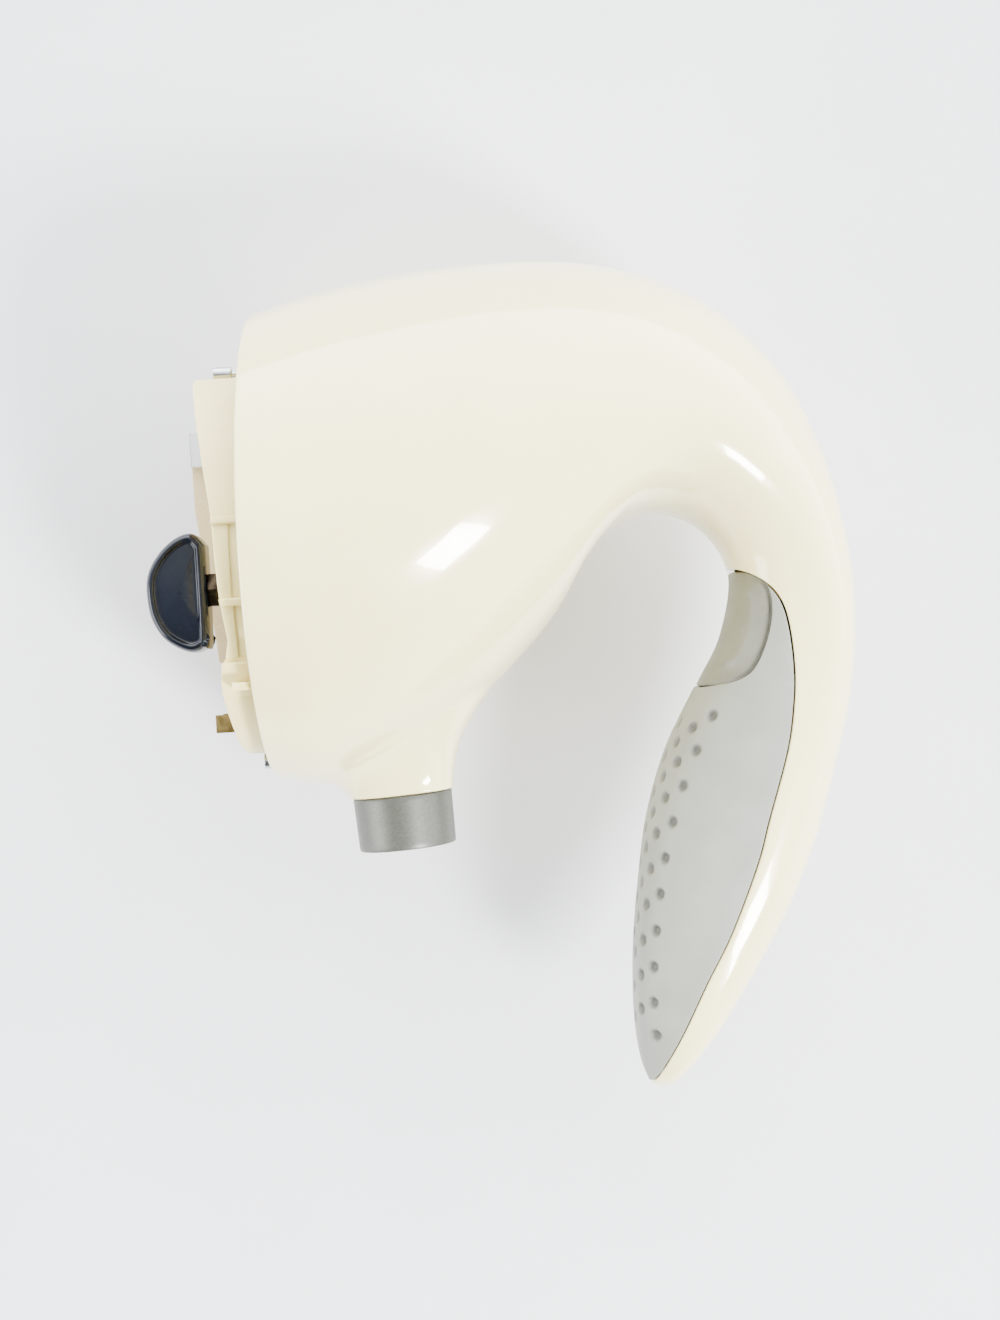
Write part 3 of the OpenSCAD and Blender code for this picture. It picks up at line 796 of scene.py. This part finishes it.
# ---- grip and trigger --------------------------------------------------------------------
@dataclass
class Grip:
    """The soft pad with its dimples, and the trigger set into it."""

    wall: float = 0.9
    trigger_wall: float = 1.2
    edge: float = 0.35
    arc: tuple[float, float] = (math.radians(52), math.radians(308))
    # The sides of the trigger pass under the pad when it is pulled: how deep, how far in, over
    # what width the surface comes back up, and how far from the mid-line the side begins.
    tuck: float = 0.9
    tuck_reach: float = 3.0
    tuck_rise: float = 1.6
    tuck_side: tuple[float, float] = (9.0, 13.0)
    dimple_r: float = 1.6
    dimple_depth: float = 1.1
    pitch: float = 0.52
    columns: tuple[tuple[float, int, float, float], ...] = (
        (12.3, 10, 17.6, 15.0), (12.58, 9, 13.2, 9.8), (12.86, 9, 9.0, 3.4), (12.6, 7, 4.3, 1.2),
    )
    inset: float = 0.3
    slit: float = 0.28
    nub_r: float = 1.0
    nub_h: float = 0.3
    nubs: tuple[tuple[float, float], ...] = (
        (69.2, 8.8), (65.9, -0.7), (59.5, -3.2), (65.7, 14.2), (63.3, 4.9),
    )
    loft: Loft = field(default_factory=lambda: Loft(BODY_STATIONS))

    def at_distance(self, t: float, distance: float) -> Vector:
        """A point of the handle's skin.

        Args:
            t: Place along the handle.
            distance: Distance round the section from the inner mid-line.

        Returns:
            The point on the near side.
        """
        angle, run = math.pi, 0.0
        last = self.loft.point(t, angle)
        while run < distance:
            angle -= 0.01
            here = self.loft.point(t, angle)
            run += (here - last).length
            last = here
        return last

    def dimple_points(self) -> list[Vector]:
        """Finds the centres of the dimples.

        Returns:
            Points on the pad's surface, on both sides of its mid-line.
        """
        centres = []
        for start, rows, first, last in self.columns:
            for row in range(rows):
                distance = first + (last - first) * row / (rows - 1)
                centres.append(self.at_distance(start + self.pitch * row, distance))
        return centres + [Vector((c.x, c.y, -c.z)) for c in centres]

    def pad(self) -> bmesh.types.BMesh:
        """The soft pad.

        Returns:
            Its mesh, in body millimetres.
        """
        bm = bmesh.new()
        self.loft.skin(bm, (8.2, len(BODY_STATIONS) - 1, 330), (*self.arc, 150))
        face_out(bm, Vector((-1, -0.2, 0)))
        grip, hole = grip_outline(0).inside, trigger_outline(self.slit).outside
        cut_soft(bm, grip, self.edge)
        cut_soft(bm, hole, self.edge)
        self.press_dimples(bm)
        thicken(bm, self.wall, [(grip, self.edge), (hole, self.edge)])
        return bm

    def press_dimples(self, bm: bmesh.types.BMesh) -> None:
        """Presses the dimples into the pad and marks them darker, for dirt and painted shade in the
        hollows.

        Args:
            bm: The pad's skin.
        """
        bm.normal_update()
        centres = np.array(self.dimple_points())
        co = np.array([v.co for v in bm.verts])
        gap = np.sqrt(((co[:, None, :] - centres[None, :, :]) ** 2).sum(2)).min(1)
        # Darker in and round each dimple: dirt, and painted shade in the hollow.
        mark(bm, np.clip(1.9 - 1.5 * gap / self.dimple_r, 0, 1).tolist())
        share = np.clip(gap / self.dimple_r, 0, 1)
        depth = self.dimple_depth * (1 - share**4)
        for v, d in zip(list(bm.verts), depth.tolist()):
            if d > 1e-4:
                v.co = v.co - v.normal * d

    def trigger(self) -> bmesh.types.BMesh:
        """The trigger's skin with its nubs.

        Returns:
            Its mesh, in body millimetres.
        """
        bm = bmesh.new()
        self.loft.skin(bm, (8.6, 13.0, 90), (*self.arc, 120), self.inset)
        face_out(bm, Vector((-1, -0.2, 0)))
        grip, own = grip_outline(-0.1).inside, trigger_outline(0).inside
        cut_soft(bm, grip, self.edge)
        cut_soft(bm, own, self.edge)
        bm.normal_update()
        verts = list(bm.verts)
        co = np.array([v.co for v in verts])
        spots = np.array(self.nubs)
        gap = np.hypot(co[:, None, 0] - spots[None, :, 0], co[:, None, 1] - spots[None, :, 1]).min(1)
        raise_by = self.nub_h * np.sqrt(np.clip(1 - (gap / self.nub_r) ** 2, 0, 1))
        near = np.clip(1 - (own(co) - self.tuck_reach) / self.tuck_rise, 0, 1)
        side = np.interp(np.abs(co[:, 2]), self.tuck_side, (0, 1))
        raise_by -= self.tuck * near * near * (3 - 2 * near) * side
        for v, h in zip(verts, raise_by.tolist()):
            v.co = v.co + v.normal * h
        thicken(bm, self.trigger_wall, [(grip, self.edge), (own, self.edge)])
        return bm

    def build(self) -> None:
        """Makes the pad and the trigger."""
        for bm, name, finish, body, slot in (
            (self.pad(), "grip_pad", GRIP, "housing", "grip_grey"),
            (self.trigger(), "trigger", TRIGGER, "trigger", "trigger_grey"),
        ):
            to_frame(bm)
            hand_over(piece(bm, f"{name}_skin"), finish, body, [name])


# ---- outlet ------------------------------------------------------------------------------
@dataclass
class Collar:
    """The twist collar on the outlet neck."""

    bottom_r: float = 13.0
    top_r: float = 13.35
    bore: float = 11.75
    length: float = 14.3
    notch: float = 1.0
    notch_depth: float = 0.5
    notch_span: tuple[float, float] = (5.5, 11.0)

    def build(self) -> None:
        """Makes the collar."""
        bm = bmesh.new()
        r0, r1, top = self.bottom_r, self.top_r, self.length
        profile = [
            (self.bore + 0.3, 0), (r0 - 0.5, 0), (r0 - 0.15, 0.15), (r0, 0.5), (r0 + 0.05, 1.6),
            (r1 - 0.05, top - 1.4), (r1, top - 0.5), (r1 - 0.12, top - 0.15), (r1 - 0.4, top),
            (self.bore + 0.2, top), (self.bore, top - 0.2), (self.bore, 0.3),
        ]
        spin_profile(bm, profile, 128)
        low, high = self.notch_span
        grip_marks = [math.radians(a) for a in (0, 120, 240)]
        for v in bm.verts:
            r = math.hypot(v.co.x, v.co.y)
            if r > self.bottom_r - 0.3:
                angle = math.atan2(v.co.y, v.co.x)
                turns = [(angle - a + math.pi) % (2 * math.pi) - math.pi for a in grip_marks]
                if min(abs(t) for t in turns) * r < self.notch and low < v.co.z < high:
                    v.co.xy = v.co.xy * (r - self.notch_depth) / r
        bmesh.ops.transform(bm, matrix=OUTLET, verts=bm.verts)
        to_frame(bm)
        made = piece(bm, "outlet_collar_ring", 30)
        hand_over(made, COLLAR, "collar", ["outlet_collar"])


# ---- selector ----------------------------------------------------------------------------
@dataclass
class SelectorKnob:
    """The wing-shaped selector knob, a thick bean with a rounded rim round each face.

    `steps` holds the rings of one face, from the waist to the rim and down to the dished face:
    how far each lies inside the outline, and its height. `face` goes on from the last of them
    towards the middle: share of the width that is left, and height.
    """

    middle: tuple[float, float] = (-84.6, 22.4)
    steps: tuple[tuple[float, float], ...] = (
        (-0.05, 2.0), (0.0, 3.6), (0.2, 4.9), (0.6, 5.8), (1.1, 6.3), (1.55, 6.45), (1.95, 6.3),
        (2.2, 5.95), (2.4, 5.6), (2.7, 5.45), (3.1, 5.5),
    )
    face: tuple[tuple[float, float], ...] = (
        (0.85, 5.62), (0.65, 5.85), (0.42, 6.05), (0.2, 6.15), (0.04, 6.18),
    )

    def build(self) -> None:
        """Makes the knob."""
        bm = bmesh.new()
        outline = [Vector((x, y)) for x, y in curve(KNOB_OUTLINE + KNOB_OUTLINE[:1], 6)[:-1]]
        count = len(outline)
        middle = Vector(self.middle)
        side = [(outline[(k + 1) % count] - outline[k - 1]).normalized() for k in range(count)]
        inward = [Vector((-t.y, t.x)) for t in side]
        if inward[0].dot(middle - outline[0]) < 0:
            inward = [-n for n in inward]
        ring = bmesh.ops.create_circle(bm, segments=count, radius=1)["verts"]
        ring.sort(key=lambda v: math.atan2(v.co.y, v.co.x))
        last_inset = self.steps[-1][0]
        rings = [[p + n * inset for p, n in zip(outline, inward)] + [z] for inset, z in self.steps]
        core = [p + n * last_inset for p, n in zip(outline, inward)]
        rings += [[middle + (p - middle) * share for p in core] + [z] for share, z in self.face]
        for v, p in zip(ring, outline):
            v.co = (p.x, p.y, 0)
        edges = list(bm.edges)
        for *spots, z in rings:
            grown = bmesh.ops.extrude_edge_only(bm, edges=edges)["geom"]
            edges = [g for g in grown if isinstance(g, bmesh.types.BMEdge)]
            before = [self.spot(v) for v in ring]
            ring = [g for g in grown if isinstance(g, bmesh.types.BMVert)]
            ring.sort(key=lambda v: before.index(self.spot(v)))
            for v, p in zip(ring, spots):
                v.co = (p.x, p.y, z)
        bmesh.ops.holes_fill(bm, edges=edges, sides=0)
        bmesh.ops.mirror(bm, geom=bm.verts[:] + bm.edges[:] + bm.faces[:], axis="Z", merge_dist=1e-4)
        bmesh.ops.recalc_face_normals(bm, faces=bm.faces)
        to_frame(bm)
        made = piece(bm, "selector_knob_wing", 60)
        hand_over(made, KNOB, "selector", ["selector_knob"])

    @staticmethod
    def spot(v: bmesh.types.BMVert) -> tuple[float, ...]:
        """Where a vertex lies in the side view, rounded, to match it with the one it grew from."""
        return tuple(round(c, 4) for c in v.co.xy)


# ---- machined and moulded fittings that keep their CAD outline ----------------------------
@dataclass
class Fitting:
    """A CAD part redrawn with softened edges."""

    node: str
    finish: Finish
    body: str
    slot: str
    soften: float = 0.15
    segments: int = 2
    sharp: float = 28.0

    def shape(self, nodes: dict[str, bpy.types.Object]) -> bmesh.types.BMesh:
        """Copies the node's mesh, merges it and softens its edges.

        Args:
            nodes: The frame's nodes by name.

        Returns:
            The mesh, in metres.
        """
        bm = bmesh.new()
        bm.from_mesh(nodes[self.node].data)
        bmesh.ops.remove_doubles(bm, verts=bm.verts, dist=2e-6)
        bmesh.ops.dissolve_limit(bm, angle_limit=math.radians(0.8), verts=bm.verts, edges=bm.edges)
        corner = math.radians(self.sharp)
        edges = [e for e in bm.edges if e.is_manifold and e.calc_face_angle(0) > corner]
        bmesh.ops.bevel(
            bm, geom=edges, offset=self.soften * MM, offset_type="OFFSET", segments=self.segments,
            profile=0.5, affect="EDGES", clamp_overlap=True, material=-1,
        )
        return bm

    def build(self, nodes: dict[str, bpy.types.Object]) -> bpy.types.Object:
        """Makes the part.

        Args:
            nodes: The frame's nodes by name.

        Returns:
            The part.
        """
        made = piece(self.shape(nodes), f"{self.node}_detail", 35)
        return hand_over(made, self.finish, self.body, [self.node])


@dataclass
class FrontFrame(Fitting):
    """The scalloped front frame, with the steps, ribs and lobes along its side wall."""

    radius: float = 50.0
    centre_y: float = 28.5
    # How deep a band is rooted in the wall, and where its front starts before it is fitted.
    root: float = 1.0
    ahead: float = -99.0
    # Raised bands of the wall: x to which it reaches back, y from, y to, height above the wall.
    bands: tuple[tuple[float, float, float, float], ...] = (
        (-60.2, 38.2, 78.0, 0.8), (-60.2, 36.6, 38.4, 1.7), (-64.4, 18.6, 36.8, 0.55),
        (-60.2, 17.0, 18.8, 1.7), (-64.2, 4.2, 17.2, 0.55), (-60.2, -4.6, 3.4, 1.6),
        (-60.2, -19.5, -4.8, 0.8),
    )
    # The front edge of the wall in the side view: y and x.
    front: tuple[tuple[float, float], ...] = (
        (-23, -67.6), (-16, -68.6), (-6, -69.6), (2, -69.0), (6, -66.2), (19, -67.6), (40, -68.6),
        (58, -71.7), (69.7, -74.2), (78.6, -76.8),
    )

    def shape(self, nodes: dict[str, bpy.types.Object]) -> bmesh.types.BMesh:
        """The frame's mesh with its bands.

        Args:
            nodes: The frame's nodes by name.

        Returns:
            The mesh, in metres.
        """
        bm = super().shape(nodes)
        extra = bmesh.new()
        for band in self.bands:
            self.band(extra, *band)
        edges = [e for e in extra.edges if e.calc_face_angle(0) > math.radians(50)]
        bmesh.ops.bevel(
            extra, geom=edges, offset=0.35, offset_type="OFFSET", segments=3, profile=0.5,
            affect="EDGES", clamp_overlap=True, material=-1,
        )
        to_frame(extra)
        spare = bpy.data.meshes.new("bands")
        extra.to_mesh(spare)
        extra.free()
        bm.from_mesh(spare)
        bpy.data.meshes.remove(spare)
        return bm

    def band(self, bm: bmesh.types.BMesh, back: float, y0: float, y1: float, rise: float) -> None:
        """Adds one raised band, on both sides of the parting plane.

        Args:
            bm: The mesh that takes it.
            back: How far back it reaches.
            y0: Lower end.
            y1: Upper end.
            rise: Height above the wall.
        """
        outer, inner = self.radius + rise, self.radius - self.root
        first, last = (
            math.acos(max(-1.0, min(1.0, (y - self.centre_y) / self.radius))) for y in (y1, y0)
        )
        steps = max(2, round((last - first) / 0.08))
        for side in (1, -1):
            ring = [
                bm.verts.new((x, self.centre_y + r * math.cos(first), side * r * math.sin(first)))
                for x, r in (
                    (self.ahead, inner), (back, inner), (back, outer), (self.ahead, outer)
                )
            ]
            bmesh.ops.spin(
                bm, geom=[bm.faces.new(ring)], cent=(0, self.centre_y, 0), axis=(1, 0, 0),
                angle=side * (last - first), steps=steps,
            )
        heights, fronts = zip(*self.front)
        for v in (v for v in bm.verts if v.co.x < self.ahead + 1):
            v.co.x = float(np.interp(v.co.y, heights, fronts)) - 0.1
        bmesh.ops.recalc_face_normals(bm, faces=bm.faces)


@dataclass
class CoilSpring(Fitting):
    """A coil spring, redrawn with softened edges and given a mesh of its own."""

    joint: str = "interlock_press"
    axis: tuple[float, float, float] = (1, 0, 0)
    anchor: tuple[float, float, float] = (-0.0517, 0.0865, 0.062)
    keep: float = 0.66

    def build(self, nodes: dict[str, bpy.types.Object]) -> bpy.types.Object:
        """Makes the spring and gives it a mesh of its own.

        Args:
            nodes: The frame's nodes by name.

        Returns:
            The spring.
        """
        made = super().build(nodes)
        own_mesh(made)
        return made


FITTINGS = (
    FrontFrame("front_frame", FRAME_CREAM, "housing", "frame_cream", 0.3),
    Fitting("terminal_board", BOARD, "housing", "insulation_board", 0.15),
    Fitting("terminal_blades", BRASS, "housing", "brass", 0.12),
    Fitting("spindle_nut", BRONZE, "housing", "bronze", 0.25),
    Fitting("interlock_pin", CHROME, "interlock", "chrome", 0.25, 3),
    CoilSpring("interlock_spring", SPRING, "housing", "spring_steel", 0.02, 1),
    Fitting("frame_screws", CHROME, "housing", "chrome", 0.2, 3),
    Fitting("shell_screws", STEEL, "housing", "steel", 0.1),
    Fitting("pilot_lens", CLEAR, "housing", "clear_plastic", 0.4, 3),
)


# ---- studio ------------------------------------------------------------------------------
@dataclass(frozen=True)
class Lamp:
    """A soft rectangular light."""

    name: str
    place: tuple[float, float, float]
    aim: tuple[float, float, float]
    size: tuple[float, float]
    power: float
    tint: tuple[float, float, float] = (1, 1, 1)

    def build(self) -> None:
        """Hangs the light."""
        data = bpy.data.lights.new(self.name, "AREA")
        data.shape = "RECTANGLE"
        data.size, data.size_y = self.size
        data.energy = self.power
        data.color = self.tint
        made = bpy.data.objects.new(self.name, data)
        made.location = self.place
        made.rotation_mode = "QUATERNION"
        made.rotation_quaternion = (Vector(self.aim) - Vector(self.place)).to_track_quat("-Z", "Y")
        bpy.context.scene.collection.objects.link(made)


@dataclass
class Studio:
    """Camera, floor and lights."""

    lens: float = 51.82
    roll: float = -3.1
    height: float = 0.575
    # Where the air is brightest, and its least and greatest strength.
    lean: tuple[float, float, float] = (0.3, 0.62, -0.72)
    air: tuple[float, float] = (0.3, 15.0)
    lamps: tuple[Lamp, ...] = (
        Lamp("window_light", (0.74, -0.66, 1.15), (0.0, 0.0, 0.08), (0.26, 0.4), 62),
        Lamp("soft_left_light", (-1.5, -0.35, 0.75), (-0.05, 0.0, 0.03), (1.0, 1.0), 45),
    )

    def camera(self) -> None:
        """Hangs the camera straight above the body."""
        data = bpy.data.cameras.new("camera")
        data.lens = self.lens
        data.sensor_width = 36
        data.sensor_fit = "AUTO"
        data.clip_start, data.clip_end = 0.01, 20
        made = bpy.data.objects.new("camera", data)
        made.location = (-0.001, 0.0055, self.height)
        made.rotation_euler = (0, 0, math.radians(self.roll))
        bpy.context.scene.collection.objects.link(made)
        bpy.context.scene.camera = made

    def floor(self) -> None:
        """Lays the pale floor."""
        bm = bmesh.new()
        bmesh.ops.create_grid(bm, x_segments=2, y_segments=2, size=6)
        made = piece(bm, "floor")
        made.data.materials.append(FLOOR_PAPER.material())

    def world(self) -> None:
        """Sets the soft light all round, bright low down past the crown and dim overhead."""
        world = bpy.data.worlds.new("studio_air")
        bpy.context.scene.world = world
        world.use_nodes = True
        tree = world.node_tree
        back = tree.nodes["Background"]
        back.inputs["Color"].default_value = (0.95, 0.97, 1.0, 1)
        place = tree.nodes.new("ShaderNodeTexCoord")
        lean = tree.nodes.new("ShaderNodeVectorMath")
        lean.operation = "DOT_PRODUCT"
        lean.inputs[1].default_value = Vector(self.lean).normalized()
        spread = tree.nodes.new("ShaderNodeMapRange")
        spread.interpolation_type = "SMOOTHSTEP"
        spread.inputs["From Min"].default_value = -1.0
        spread.inputs["To Min"].default_value, spread.inputs["To Max"].default_value = self.air
        tree.links.new(place.outputs["Generated"], lean.inputs[0])
        tree.links.new(lean.outputs["Value"], spread.inputs["Value"])
        tree.links.new(spread.outputs["Result"], back.inputs["Strength"])

    def build(self) -> None:
        """Sets up the studio."""
        self.camera()
        self.floor()
        self.world()
        for lamp in self.lamps:
            lamp.build()


def dress_carried(nodes: dict[str, bpy.types.Object]) -> None:
    """Gives every carried-over CAD node its finish.

    Args:
        nodes: The frame's nodes by name.
    """
    for name, finish in CARRIED_FINISH.items():
        slots = nodes[name].data.materials
        slots.clear()
        slots.append(finish.material())
        LOG.info("%s: %s", name, finish.name)


def main() -> None:
    """Builds the hair dryer around its frame, in order, and reports each piece."""
    logging.basicConfig(level=logging.INFO, format="%(name)s %(message)s")
    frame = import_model()
    Studio().build()
    BodyShell().build()
    Grip().build()
    Collar().build()
    SelectorKnob().build()
    for fitting in FITTINGS:
        fitting.build(frame["nodes"])
    dress_carried(frame["nodes"])


if __name__ == "__main__":
    main()
